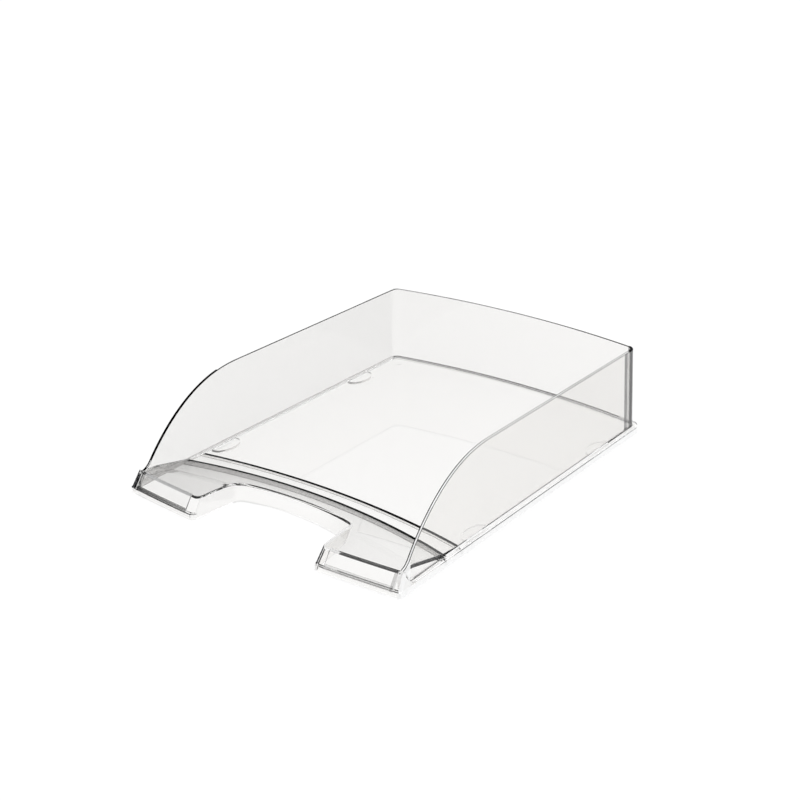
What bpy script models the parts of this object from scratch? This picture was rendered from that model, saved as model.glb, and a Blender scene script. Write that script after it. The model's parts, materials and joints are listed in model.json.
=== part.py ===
"""Letter tray: one clear moulding (floor, walls, flange, front feet with a thumb notch, ribs and
locating lugs under the floor) and two clear label strips that stand in the label fields of the feet.

Run with: blender --background --python part.py
Units are metres, +Z is up, the front of the tray faces -Y and the origin is the bottom centre of the
whole tray. The helpers work in millimetres, with y = 0 at the middle of the front line, and
make_object centres and scales the result.
"""

import math

import bmesh
import bpy
import numpy as np
from mathutils import Vector

MM = 0.001
SIDES = (("left", -1), ("right", 1))

# ---- driving dimensions, millimetres -------------------------------------------------------------
# Outline and walls
HALF_WIDTH = 127.5  # skirt, outside
WALL_X = 123.5  # side wall, outside face
WALL_THICK = 2.4
WALL_BASE_Z = 3.2  # the walls start inside the floor slab
HEIGHT = 70.0  # desk to the top of the walls
BACK_WALL_Y = 355.1  # outside face of the back wall on the centre line
BACK_BOW = 0.00081  # the back bulges to the rear: y = BACK_WALL_Y - BACK_BOW * x^2
BACK_POINTS = 17  # points along a bowed back edge
LEDGE = 3.4  # flange behind the back wall
FRONT_BOW = 0.00044  # the front bulges forward: y = FRONT_BOW * x^2
SKIRT_THICK = 2.4
CORNER_R_BACK = 13.0
CORNER_R_WALL = 6.0
CORNER_R_FOOT = 2.6

# Floor, pads and feet
FLOOR_TOP = 4.8  # floor and flange, top face
FLOOR_THICK = 2.4
FOOT_TOP = 14.5
PLINTH_TOP = 4.4  # top of the vertical lip under each label field
PLINTH_SET = 1.0  # how far the label face starts behind the lip
PLINTH_STEP = 0.15  # height over which the front steps back above the lip
FACE_SLANT = 0.69  # label face: mm back for each mm up
FLARE = 0.08  # side of a foot: mm in for each mm up
RAMP_LINE = (95.0, 0.00087)  # (a, b): the floor starts to rise forward at y = a - b * x^2
CREST_LINE = (80.0, 0.00112)  # (a, b): crest above the front cross rib
CREST_Z = 6.4
PAD_SLOPE = 0.215  # the front pads rise towards the feet
PAD_RUN = (FOOT_TOP - CREST_Z) / PAD_SLOPE  # from the crest forward to full foot height
WING_Y0, WING_Y1 = 16.0, 26.0  # the foot's side drops to the flange between these
WING_STEPS = (0, 0.12, 0.3, 0.55, 1.0)  # stations along that drop, as fractions
BLOCK_BACK_Y = 100.0  # rear end of the front block, inside the floor area
FRONT_LEVELS = (0.0, PLINTH_TOP, PLINTH_TOP + PLINTH_STEP, FOOT_TOP)

# Thumb notch between the feet
NOTCH_HALF_FRONT = 56.5  # half width at its mouth
NOTCH_HALF_REAR = 51.5
NOTCH_REAR = 54.0  # y of its rear edge on the centre line
NOTCH_BOW = 0.0031
NOTCH_R_MOUTH = 4.6
NOTCH_R_REAR = 10.0
NOTCH_LEAN_X = 0.15  # mm outwards for each mm up
NOTCH_LEAN_Y = 0.55  # mm back for each mm up
FOOT_EDGE_POINTS = 6  # points along a foot's front edge
FOOT_EDGE_OUTER, FOOT_EDGE_INNER = 10.0, 11.0  # their distance from the two corners
NOTCH_EDGE_POINTS = 13  # points along the notch's rear edge
NOTCH_EDGE_END = 12.0  # their distance from its corners

# Front edge of the side walls
WALL_FRONT_Y = 13.8
CURVE_Y0 = 17.3  # foot of the curve
CURVE_Y1 = 124.2  # where the wall reaches full height
CURVE_Z0 = 10.0
CURVE_FOOT_Z = 20.0  # below this the edge fillets forward onto the foot
CURVE_POWER_Y = 2.26  # superellipse exponents
CURVE_POWER_Z = 1.12
CURVE_STEPS = 24
CURVE_FOOT_STEPS = 6
CURVE_FOOT_REACH = 3.9  # how far the fillet's control point lies in front of the curve
CURVE_FOOT_LIFT = 0.1  # height of that control point above the foot
CURVE_FOOT_SINK = 0.2  # how far the fillet's front end lies below the foot's top

# Ribs and lugs under the floor
RIB_THICK = 2.0
RIB_POINTS = 25
RIB_HALF = 130.0  # past the skirt on both sides
RIB_TOP = 8.0  # ribs and lugs end inside or above the floor
CREST_RIB_Z0 = -4.0  # below the desk, so this rib reaches the bottom of the hollow
RAMP_RIB_Z0 = 0.4
LUG_Y = (107.0, 284.0)  # half-moon locating lugs
LUG_LENGTH = 28.0
LUG_DEPTH = 7.8
LUG_X = 119.6
LUG_Z0 = 0.5
LUG_STEPS = 12

# Label fields and strips
LABEL_X0, LABEL_X1 = 65.5, 121.5  # label field, from the notch side to the outer side
POCKET_DEPTH = 1.1
POCKET_Z0 = 3.2
POCKET_Z1 = 16.0  # above the foot, so the pocket is open at the top
LABEL_THICK = 0.5
LABEL_GAP = 0.3
LABEL_LIFT = 0.35  # the strip's lower edge above the pocket's
LABEL_TOP = 14.2
LABEL_POINTS = 9

# Cutter overlaps
SURFACE_X = 135.0  # half width of the surface helpers
SWEEP_X = 140.0  # half width of the wall cutter
FAR_FRONT_Y = -10.0
FAR_BACK_Y = 400.0

# The y range used to centre the tray on the origin; it starts where the notch rounding meets the feet.
Y_MIN = FRONT_BOW * (NOTCH_HALF_FRONT + NOTCH_R_MOUTH) ** 2
Y_MAX = BACK_WALL_Y + LEDGE
Y_CENTRE = (Y_MIN + Y_MAX) / 2


# ---- plan curves ---------------------------------------------------------------------------------
# A corner is (x, y, radius); an outline is a closed list of (x, y), anticlockwise.


def front_line(x):
    return FRONT_BOW * x * x


def ramp_line(x):
    return RAMP_LINE[0] - RAMP_LINE[1] * x * x


def crest_line(x):
    return CREST_LINE[0] - CREST_LINE[1] * x * x


def fillet(corners, steps=8):
    """A closed outline with each corner of the polygon rounded to its radius."""
    outline = []
    places = [np.array(corner[:2], float) for corner in corners]
    for i, place in enumerate(places):
        radius = corners[i][2]
        if radius <= 0:
            outline.append(tuple(place))
            continue
        before = places[i - 1] - place
        after = places[(i + 1) % len(places)] - place
        length_before, length_after = np.linalg.norm(before), np.linalg.norm(after)
        before, after = before / length_before, after / length_after
        half_angle = math.acos(max(-1.0, min(1.0, float(before @ after)))) / 2
        # The arc may take up at most about half of each neighbouring edge.
        reach = min(radius / math.tan(half_angle), 0.49 * length_before, 0.49 * length_after)
        radius = reach * math.tan(half_angle)
        bisector = (before + after) / np.linalg.norm(before + after)
        centre = place + bisector * (radius / math.sin(half_angle))
        start, end = place + before * reach - centre, place + after * reach - centre
        angle_start = math.atan2(start[1], start[0])
        angle_end = math.atan2(end[1], end[0])
        turn = (angle_end - angle_start + math.pi) % (2 * math.pi) - math.pi
        for k in range(steps + 1):
            angle = angle_start + turn * k / steps
            outline.append(
                (centre[0] + radius * math.cos(angle), centre[1] + radius * math.sin(angle))
            )
    return outline


def back_corners(half, wall_y, radius):
    """Corners of a bowed back edge, from +x to -x; only the two ends are rounded."""
    last = BACK_POINTS - 1
    return [
        (x, wall_y - BACK_BOW * x * x, radius if i in (0, last) else 0.0)
        for i, x in enumerate(np.linspace(half, -half, BACK_POINTS))
    ]


def foot_half_width(z):
    return HALF_WIDTH - FLARE * z


def front_inset(z):
    """How far the front face lies behind its foot line at height z."""
    if z <= PLINTH_TOP:
        return 0.0
    return PLINTH_SET + FACE_SLANT * (z - PLINTH_TOP)


def front_corners(z):
    """Corners of the front edge, with the thumb notch, from -x to +x at height z."""
    half = foot_half_width(z)
    inset = front_inset(z)
    mouth_x = NOTCH_HALF_FRONT + NOTCH_LEAN_X * z
    rear_x = NOTCH_HALF_REAR + NOTCH_LEAN_X * z
    rear_y = NOTCH_REAR + NOTCH_LEAN_Y * z

    def front(x, radius=0.0):
        return (x, front_line(x) + inset, radius)

    def rear(x, radius=0.0):
        return (x, rear_y - NOTCH_BOW * x * x, radius)

    foot_xs = np.linspace(-half + FOOT_EDGE_OUTER, -mouth_x - FOOT_EDGE_INNER, FOOT_EDGE_POINTS)
    rear_end = rear_x - NOTCH_EDGE_END
    left = [
        front(-half, CORNER_R_FOOT),
        *[front(x) for x in foot_xs],
        front(-mouth_x, NOTCH_R_MOUTH),
        rear(-rear_x, NOTCH_R_REAR),
    ]
    middle = [rear(x) for x in np.linspace(-rear_end, rear_end, NOTCH_EDGE_POINTS)]
    right = [(-x, y, radius) for x, y, radius in reversed(left)]
    return left + middle + right


def tray_outline(z):
    """The whole tray's outline at height z in the base."""
    back = back_corners(foot_half_width(z), BACK_WALL_Y + LEDGE, CORNER_R_BACK)
    return fillet(front_corners(z) + back)


def block_outline(z):
    """The front block's outline at height z, closed straight across at the back."""
    half = foot_half_width(z)
    return fillet(front_corners(z) + [(half, BLOCK_BACK_Y, 0.0), (-half, BLOCK_BACK_Y, 0.0)])


def wall_outline(inset):
    """Outline of the area within the walls' outside face, moved in by inset except at the front."""
    half = WALL_X - inset
    front = [(-half, WALL_FRONT_Y, 0.0), (half, WALL_FRONT_Y, 0.0)]
    return fillet(front + back_corners(half, BACK_WALL_Y - inset, CORNER_R_WALL - inset))


def offset(outline, distance):
    """The anticlockwise outline moved inwards by distance."""
    points = np.array(outline)
    before, after = points - np.roll(points, 1, 0), np.roll(points, -1, 0) - points
    before /= np.linalg.norm(before, axis=1)[:, None]
    after /= np.linalg.norm(after, axis=1)[:, None]
    along = before + after
    normal = np.stack([-along[:, 1], along[:, 0]], 1)
    normal /= np.linalg.norm(normal, axis=1)[:, None]
    edge_normal = np.stack([-after[:, 1], after[:, 0]], 1)
    # The lower bound limits the mitre at sharp corners.
    mitre = np.clip((normal * edge_normal).sum(1), 0.5, 1)
    return [tuple(point) for point in points + normal * (distance / mitre)[:, None]]


# ---- heights -------------------------------------------------------------------------------------


def floor_height(x, y):
    """Top of the floor inside the walls: flat, a low ramp up to the crest, then the rising pads."""
    ramp_y, crest_y = ramp_line(x), crest_line(x)
    if y >= ramp_y:
        return FLOOR_TOP
    if y >= crest_y:
        return FLOOR_TOP + (CREST_Z - FLOOR_TOP) * (ramp_y - y) / (ramp_y - crest_y)
    return min(FOOT_TOP, CREST_Z + PAD_SLOPE * (crest_y - y))


def wing_height(y):
    """Top of a foot's side outside the wall: full height in front, a concave drop to the flange."""
    if y <= WING_Y0:
        return FOOT_TOP
    if y >= WING_Y1:
        return FLOOR_TOP
    rise = (WING_Y1 - y) / (WING_Y1 - WING_Y0)
    return FLOOR_TOP + (FOOT_TOP - FLOOR_TOP) * (1 - math.sqrt(max(0.0, 1 - rise * rise)))


def wall_front_curve():
    """(y, z) points of the side walls' front edge, from the foot up to full height."""
    rise = HEIGHT - CURVE_Z0
    start = math.asin(((CURVE_FOOT_Z - CURVE_Z0) / rise) ** (CURVE_POWER_Z / 2))
    swept = []
    for k in range(CURVE_STEPS):
        angle = start + (math.pi / 2 - start) * k / CURVE_STEPS
        y = CURVE_Y1 - (CURVE_Y1 - CURVE_Y0) * math.cos(angle) ** (2 / CURVE_POWER_Y)
        z = CURVE_Z0 + rise * math.sin(angle) ** (2 / CURVE_POWER_Z)
        swept.append((y, z))
    swept.append((CURVE_Y1, HEIGHT + 0.01))  # just clear of the walls' top

    # Quadratic Bezier from the foot up to the start of the swept curve.
    upper = np.array(swept[0])
    control = np.array((upper[0] - CURVE_FOOT_REACH, FOOT_TOP + CURVE_FOOT_LIFT))
    lower = np.array((WALL_FRONT_Y - 0.5, FOOT_TOP - CURVE_FOOT_SINK))
    foot = []
    for k in range(CURVE_FOOT_STEPS):
        t = k / CURVE_FOOT_STEPS
        foot.append(tuple((1 - t) ** 2 * lower + 2 * t * (1 - t) * control + t * t * upper))
    return foot + swept


# ---- mesh data: each function returns (points, faces) --------------------------------------------


def skin(rings):
    """A closed solid through rings of equal length, each a list of (x, y, z)."""
    count = len(rings[0])
    points = [point for ring in rings for point in ring]
    faces = []
    for k in range(len(rings) - 1):
        low, high = k * count, (k + 1) * count
        for i in range(count):
            j = (i + 1) % count
            faces.append((low + i, low + j, high + j, high + i))
    faces.append(tuple(range(count))[::-1])
    faces.append(tuple(range(len(points) - count, len(points))))
    return points, faces


def loft(levels):
    """A solid through (z, outline) levels."""
    return skin([[(x, y, z) for x, y in outline] for z, outline in levels])


def bar(xs, section, line=lambda x: 0.0):
    """A solid with the closed (y, z) section at each x, moved back by line(x)."""
    return skin([[(x, line(x) + y, z) for y, z in section] for x in xs])


def strip_section(front_y, back_y, z0, z1, slant=0.0):
    """A four-sided (y, z) section that leans back by slant for each mm up."""
    corners = ((front_y, z0), (back_y, z0), (back_y, z1), (front_y, z1))
    return [(y + slant * z, z) for y, z in corners]


def height_solid(columns, flat_z):
    """A solid between the plane flat_z and a surface.

    columns holds one list of surface points for each x, all of the same length.
    """
    surface = [point for column in columns for point in column]
    points = surface + [(x, y, flat_z) for x, y, z in surface]
    faces = []
    flat = len(surface)
    x_count, y_count = len(columns), len(columns[0])
    for i in range(x_count - 1):
        for j in range(y_count - 1):
            a = i * y_count + j
            b = a + y_count
            faces.append((a, b, b + 1, a + 1))
            faces.append((flat + a, flat + a + 1, flat + b + 1, flat + b))
    for i in range(x_count - 1):
        for j in (0, y_count - 1):
            a = i * y_count + j
            b = a + y_count
            faces.append((a, b, flat + b, flat + a))
    for j in range(y_count - 1):
        for i in (0, x_count - 1):
            a = i * y_count + j
            faces.append((a, a + 1, flat + a + 1, flat + a))
    return points, faces


def top_surface_solid(floor_x, wing_x, middle_xs, front_ys, back_ys, flat_z, shift=0.0):
    """A solid from flat_z up to the moulding's top surface, raised by shift.

    The floor reaches out to floor_x and the wings start at wing_x. front_ys and back_ys are the
    stations in front of and behind the shaped part.
    """
    edges = {side * x for _, side in SIDES for x in (SURFACE_X, wing_x, floor_x)}
    wing_ys = [WING_Y0 + (WING_Y1 - WING_Y0) * t for t in WING_STEPS]
    columns = []
    for x in sorted(edges | {float(x) for x in middle_xs}):
        if abs(x) >= wing_x:
            ys = [front_ys[0], *wing_ys, *back_ys]
            columns.append([(x, y, wing_height(y) + shift) for y in ys])
        else:
            crest_y = crest_line(x)
            full_y = crest_y - PAD_RUN
            ys = [*front_ys, full_y - 1.0, full_y, crest_y, ramp_line(x), back_ys[-1]]
            columns.append([(x, y, floor_height(x, y) + shift) for y in ys])
    return height_solid(columns, flat_z)


# ---- objects -------------------------------------------------------------------------------------


def clear_scene():
    for obj in list(bpy.data.objects):
        bpy.data.objects.remove(obj, do_unlink=True)


def clear_plastic(name, colour, roughness):
    alpha = 0.35
    mat = bpy.data.materials.new(name)
    mat.use_nodes = True
    settings = {
        "Base Color": (*colour, 1.0),
        "Roughness": roughness,
        "Metallic": 0.0,
        "IOR": 1.59,
        "Alpha": alpha,
    }
    inputs = mat.node_tree.nodes["Principled BSDF"].inputs
    for key, value in settings.items():
        inputs[key].default_value = value
    mat.diffuse_color = (*colour, alpha)
    return mat


def make_object(name, mesh_data, mat=None):
    """An object from millimetre mesh data, centred; without a material it is a hidden helper."""
    points, faces = mesh_data
    mesh = bpy.data.meshes.new(name)
    mesh.from_pydata([(x * MM, (y - Y_CENTRE) * MM, z * MM) for x, y, z in points], [], faces)
    mesh.validate()
    bm = bmesh.new()
    bm.from_mesh(mesh)
    bmesh.ops.recalc_face_normals(bm, faces=bm.faces)
    bm.to_mesh(mesh)
    bm.free()
    obj = bpy.data.objects.new(name, mesh)
    bpy.context.scene.collection.objects.link(obj)
    if mat:
        mesh.materials.append(mat)
    else:
        obj.hide_render = True
        obj.display_type = "WIRE"
    return obj


def boolean(obj, other, operation):
    mod = obj.modifiers.new(operation.title() + "_" + other.name, "BOOLEAN")
    mod.operation = operation
    mod.solver = "EXACT"
    mod.object = other


def make_front_block():
    """Feet, pads and notch wall: full height first, then cut to the top surface."""
    levels = [(z, block_outline(z)) for z in FRONT_LEVELS]
    block = make_object("helper_front_block", loft(levels))
    # The step between floor and wing lies within the thickness of the side walls.
    surface = top_surface_solid(
        floor_x=WALL_X - WALL_THICK / 2,
        wing_x=WALL_X - 0.4,
        middle_xs=np.linspace(-110, 110, 17),
        front_ys=(FAR_FRONT_Y, -6.0, -3.0),
        back_ys=(60.0, 110.0),
        flat_z=-5.0,
    )
    boolean(block, make_object("helper_pad_surface", surface), "INTERSECT")
    return block


def make_walls():
    """One U-shaped sheet, cut along the swept front edge."""
    outer, inner = wall_outline(0.0), wall_outline(WALL_THICK)
    u_shape = outer[1:] + outer[:1] + inner[:1] + inner[:0:-1]
    walls = make_object("helper_walls", loft([(WALL_BASE_Z, u_shape), (HEIGHT, u_shape)]))
    bottom, top = 2.0, HEIGHT + 20
    section = [
        (0.0, bottom),
        (WALL_FRONT_Y - 0.5, bottom),
        *wall_front_curve(),
        (CURVE_Y1, top),
        (0.0, top),
    ]
    sweep = make_object("helper_wall_sweep", bar((-SWEEP_X, SWEEP_X), section))
    boolean(walls, sweep, "DIFFERENCE")
    return walls


def half_moon(side, y_middle):
    """Outline of a lug whose round side faces the middle of the tray."""
    outline = []
    for i in range(LUG_STEPS + 1):
        angle = -math.pi / 2 + math.pi * i / LUG_STEPS
        x = side * (LUG_X - LUG_DEPTH * math.cos(angle))
        outline.append((x, y_middle + LUG_LENGTH / 2 * math.sin(angle)))
    return outline


def make_hollow():
    """The space under the floor, less the skirt, walls, cross ribs and lugs."""
    levels = [(z, offset(tray_outline(z), SKIRT_THICK)) for z in (-2.0, *FRONT_LEVELS)]
    hollow = make_object("helper_hollow", loft(levels))
    surface = top_surface_solid(
        floor_x=WALL_X + 0.1,
        wing_x=WALL_X + 0.3,
        middle_xs=np.linspace(-121, 121, 19),
        front_ys=(FAR_FRONT_Y, -5.0),
        back_ys=(FAR_BACK_Y,),
        flat_z=-6.0,
        shift=-FLOOR_THICK,
    )
    boolean(hollow, make_object("helper_under_surface", surface), "INTERSECT")

    # Keep the side walls solid down to the underside of the floor.
    keep_section = strip_section(WALL_FRONT_Y - 0.2, FAR_BACK_Y, FLOOR_TOP - FLOOR_THICK, 30.0)
    for word, side in SIDES:
        keep_xs = sorted((side * (WALL_X - WALL_THICK - 0.05), side * (WALL_X + 0.05)))
        keep = make_object(f"helper_keep_{word}", bar(keep_xs, keep_section))
        boolean(hollow, keep, "DIFFERENCE")

    for word, line, z0 in (("crest", crest_line, CREST_RIB_Z0), ("floor", ramp_line, RAMP_RIB_Z0)):
        section = strip_section(-RIB_THICK / 2, RIB_THICK / 2, z0, RIB_TOP)
        xs = np.linspace(-RIB_HALF, RIB_HALF, RIB_POINTS)
        boolean(hollow, make_object(f"helper_rib_{word}", bar(xs, section, line)), "DIFFERENCE")

    for word, side in SIDES:
        for k, y_middle in enumerate(LUG_Y):
            outline = half_moon(side, y_middle)
            lug_data = loft([(LUG_Z0, outline), (RIB_TOP, outline)])
            boolean(hollow, make_object(f"helper_lug_{word}_{k}", lug_data), "DIFFERENCE")
    return hollow


def add_label(tray, word, side, film):
    """A shallow pocket in one slanted face, and the clear strip that stands in it."""
    x0, x1 = sorted((side * LABEL_X0, side * LABEL_X1))
    face_y = PLINTH_SET - FACE_SLANT * PLINTH_TOP  # the face carried down to z = 0
    along_y = math.hypot(1, FACE_SLANT)  # from a distance square to the face to one along y
    pocket_y = face_y + POCKET_DEPTH * along_y
    section = strip_section(face_y - 0.03, pocket_y, POCKET_Z0, POCKET_Z1, FACE_SLANT)
    pocket_xs = np.linspace(x0, x1, LABEL_POINTS)
    pocket = make_object(f"helper_label_pocket_{word}", bar(pocket_xs, section, front_line))
    boolean(tray, pocket, "DIFFERENCE")

    strip_back = pocket_y - LABEL_GAP * along_y
    strip_front = strip_back - LABEL_THICK * along_y
    section = strip_section(
        strip_front, strip_back, POCKET_Z0 + LABEL_LIFT, LABEL_TOP, FACE_SLANT
    )
    strip_xs = np.linspace(x0 + LABEL_GAP, x1 - LABEL_GAP, LABEL_POINTS)
    label = make_object(f"label_strip_{word}", bar(strip_xs, section, front_line), film)

    # Origin on the face line at the pocket's lower edge, midway along the label field.
    centre_x = (x0 + x1) / 2
    origin_y = front_line(centre_x) + face_y + FACE_SLANT * POCKET_Z0 - Y_CENTRE
    origin = Vector((centre_x * MM, origin_y * MM, POCKET_Z0 * MM))
    for vert in label.data.vertices:
        vert.co -= origin
    label.location = origin


def build():
    clear_scene()
    polystyrene = clear_plastic("clear_polystyrene", colour=(0.93, 0.94, 0.94), roughness=0.04)
    film = clear_plastic("clear_label_strip", colour=(0.96, 0.97, 0.97), roughness=0.08)

    # The slab takes the full outline; the hollow leaves its floor, flange and skirt.
    slab = loft([(z, tray_outline(0.0)) for z in (0.0, FLOOR_TOP)])
    tray = make_object("letter_tray_moulding", slab, polystyrene)
    boolean(tray, make_front_block(), "UNION")
    boolean(tray, make_walls(), "UNION")
    boolean(tray, make_hollow(), "DIFFERENCE")
    for word, side in SIDES:
        add_label(tray, word, side, film)


build()
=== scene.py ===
import json
import math

import bmesh
import bpy
import numpy as np
from mathutils import Matrix, Vector

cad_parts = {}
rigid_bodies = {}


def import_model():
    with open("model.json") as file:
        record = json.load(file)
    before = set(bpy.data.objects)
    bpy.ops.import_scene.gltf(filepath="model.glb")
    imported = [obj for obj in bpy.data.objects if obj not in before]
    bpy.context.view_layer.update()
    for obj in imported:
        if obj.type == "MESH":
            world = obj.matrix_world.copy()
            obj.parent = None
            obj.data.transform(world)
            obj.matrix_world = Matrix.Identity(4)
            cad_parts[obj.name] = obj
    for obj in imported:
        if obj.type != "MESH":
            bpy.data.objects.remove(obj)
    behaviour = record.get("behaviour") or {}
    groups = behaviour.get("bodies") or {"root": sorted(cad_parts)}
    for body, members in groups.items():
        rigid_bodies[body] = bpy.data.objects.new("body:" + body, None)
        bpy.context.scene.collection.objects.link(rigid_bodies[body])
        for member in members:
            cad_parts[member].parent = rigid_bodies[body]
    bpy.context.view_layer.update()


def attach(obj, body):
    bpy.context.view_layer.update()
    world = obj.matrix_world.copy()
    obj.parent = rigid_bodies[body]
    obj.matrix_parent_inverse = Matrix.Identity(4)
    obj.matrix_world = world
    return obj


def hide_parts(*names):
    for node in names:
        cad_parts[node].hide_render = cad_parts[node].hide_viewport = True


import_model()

MM = 0.001

# ---- driving dimensions, millimetres -------------------------------------------------------------
HALF_WIDTH = 127.5
WALL_X = 123.5
WALL_THICK = 2.4
HEIGHT = 70.0
BACK_WALL_Y = 355.1
BACK_BOW = 0.00081
LEDGE = 3.4
FRONT_BOW = 0.00044
FLOOR_TOP = 4.8
FLOOR_THICK = 2.4
SKIRT_THICK = 2.4
CORNER_R_BACK = 13.0
CORNER_R_WALL = 9.0
CORNER_R_FOOT = 2.6
NOTCH_CORNER_R = 4.6
FOOT_TOP = 14.5
PLINTH_TOP = 3.7
PLINTH_SET = 1.0
FACE_SLANT = 0.69
FLARE = 0.08
RIDGE_A = (95.0, 0.00087)
RIDGE_B = (80.0, 0.00112)
CREST_Z = 6.4
PAD_SLOPE = 0.215
RIB_THICK = 2.0
NOTCH_HALF_FRONT = 56.5
NOTCH_HALF_REAR = 51.5
NOTCH_REAR = 54.0
NOTCH_BOW = 0.0031
NOTCH_CORNER_IN = 10.0
NOTCH_LEAN_X = 0.15
NOTCH_LEAN_Y = 0.55
CURVE_Y0 = 17.3
CURVE_Y1 = 124.2
CURVE_Z0 = 10.0
CURVE_FOOT_Z = 20.0
WALL_FRONT_Y = 13.8
CURVE_N = 2.26
CURVE_M = 1.12
WING_Y0, WING_Y1 = 16.0, 26.0
LUG_Y = (107.0, 284.0)
LUG_LENGTH = 28.0
LUG_DEPTH = 7.8
LUG_X = 119.6
LABEL_X0, LABEL_X1 = 65.5, 121.5
POCKET_DEPTH = 1.1
POCKET_Z0 = 3.2
LABEL_THICK = 0.5
LABEL_GAP = 0.3
LABEL_TOP = 14.2
EDGE_R = 0.45  # rounding on the free edges
FLANGE_R = 0.4

Y_MIN = FRONT_BOW * (NOTCH_HALF_FRONT + NOTCH_CORNER_R) ** 2
Y_CENTRE = (Y_MIN + BACK_WALL_Y + LEDGE) / 2


# ---- plan curves ---------------------------------------------------------------------------------


def ridge(x, which):
    return which[0] - which[1] * x * x


def fillet(points, radii, steps=16):
    out = []
    count = len(points)
    for i in range(count):
        p = np.array(points[i], float)
        a = np.array(points[i - 1], float) - p
        b = np.array(points[(i + 1) % count], float) - p
        if radii[i] <= 0:
            out.append(tuple(p))
            continue
        la, lb = np.linalg.norm(a), np.linalg.norm(b)
        a, b = a / la, b / lb
        half = math.acos(max(-1.0, min(1.0, float(a @ b)))) / 2
        room = 0.9 if radii[i] < 3 else 0.49
        reach = min(radii[i] / math.tan(half), room * la, room * lb)
        r = reach * math.tan(half)
        centre = p + (a + b) / np.linalg.norm(a + b) * (r / math.sin(half))
        start, end = p + a * reach - centre, p + b * reach - centre
        t0, t1 = math.atan2(start[1], start[0]), math.atan2(end[1], end[0])
        turn = (t1 - t0 + math.pi) % (2 * math.pi) - math.pi
        for k in range(steps + 1):
            t = t0 + turn * k / steps
            out.append((centre[0] + r * math.cos(t), centre[1] + r * math.sin(t)))
    return out


def back_points(half, wall_y, n=33):
    """A bowed back edge from +x to -x; the ends stay clear so that the corner rounding fits."""
    inner = np.linspace(half - 16, -half + 16, n - 2)
    return [(x, wall_y - BACK_BOW * x * x) for x in (half, *inner, -half)]


def front_inset(z):
    if z <= PLINTH_TOP:
        return 0.0
    return PLINTH_SET * min(1.0, (z - PLINTH_TOP) / 0.15) + FACE_SLANT * max(0.0, z - 4.4)


def notch_chain(z):
    hx = HALF_WIDTH - FLARE * z
    inset = front_inset(z)
    nx = NOTCH_HALF_FRONT + NOTCH_LEAN_X * z
    nr = NOTCH_HALF_REAR + NOTCH_LEAN_X * z
    ny = NOTCH_REAR + NOTCH_LEAN_Y * z
    points, radii = [], []

    def front(x):
        return FRONT_BOW * x * x + inset

    def add(x, y, r=0.0):
        points.append((x, y))
        radii.append(r)

    add(-hx, front(hx), CORNER_R_FOOT)
    for x in (-hx + 5.2, *np.linspace(-hx + 10, -nx - 11, 9)):
        add(x, front(x))
    add(-nx, front(nx), NOTCH_CORNER_R)
    add(-nr, ny - NOTCH_BOW * nr * nr, NOTCH_CORNER_IN)
    for x in np.linspace(-nr + 12, nr - 12, 25):
        add(x, ny - NOTCH_BOW * x * x)
    add(nr, ny - NOTCH_BOW * nr * nr, NOTCH_CORNER_IN)
    add(nx, front(nx), NOTCH_CORNER_R)
    for x in np.linspace(nx + 11, hx - 10, 9):
        add(x, front(x))
    add(hx, front(hx), CORNER_R_FOOT)
    return points, radii


def tray_outline(z):
    points, radii = notch_chain(z)
    hx = HALF_WIDTH - FLARE * z
    back = back_points(hx, BACK_WALL_Y + LEDGE)
    for i, p in enumerate(back):
        points.append(p)
        radii.append(CORNER_R_BACK if i in (0, len(back) - 1) else 0.0)
    return fillet(points, radii)


def block_outline(z, y_back):
    points, radii = notch_chain(z)
    hx = HALF_WIDTH - FLARE * z
    points += [(hx, y_back), (-hx, y_back)]
    radii += [0.0, 0.0]
    return fillet(points, radii)


def offset(outline, distance):
    p = np.array(outline)
    before, after = p - np.roll(p, 1, 0), np.roll(p, -1, 0) - p
    before /= np.linalg.norm(before, axis=1)[:, None]
    after /= np.linalg.norm(after, axis=1)[:, None]
    normal = np.stack([-(before + after)[:, 1], (before + after)[:, 0]], 1)
    normal /= np.linalg.norm(normal, axis=1)[:, None]
    cos = np.clip((normal * np.stack([-after[:, 1], after[:, 0]], 1)).sum(1), 0.5, 1)
    return [tuple(q) for q in p + normal * (distance / cos)[:, None]]


# ---- heights -------------------------------------------------------------------------------------


def blend_step(t, width):
    """max(0, t) with its corner rounded over +-width."""
    if t <= -width:
        return 0.0
    if t >= width:
        return t
    return (t + width) ** 2 / (4 * width)


def floor_height(x, y):
    """Top of the floor: flat, a low ramp to the crest, the rising pads, the flat feet, all eased."""
    ya, yb = ridge(x, RIDGE_A), ridge(x, RIDGE_B)
    ramp = (CREST_Z - FLOOR_TOP) / (ya - yb)
    flat = yb - (FOOT_TOP - CREST_Z) / PAD_SLOPE
    z = FLOOR_TOP + ramp * blend_step(ya - y, 1.2)
    z += (PAD_SLOPE - ramp) * blend_step(yb - y, 1.2)
    return z - PAD_SLOPE * blend_step(flat - y, 4.0)


def wing_height(y):
    if y <= WING_Y0:
        return FOOT_TOP
    if y >= WING_Y1:
        return FLOOR_TOP
    u = (WING_Y1 - y) / (WING_Y1 - WING_Y0)
    return FLOOR_TOP + (FOOT_TOP - FLOOR_TOP) * (1 - math.sqrt(max(0.0, 1 - u * u)))


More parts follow.
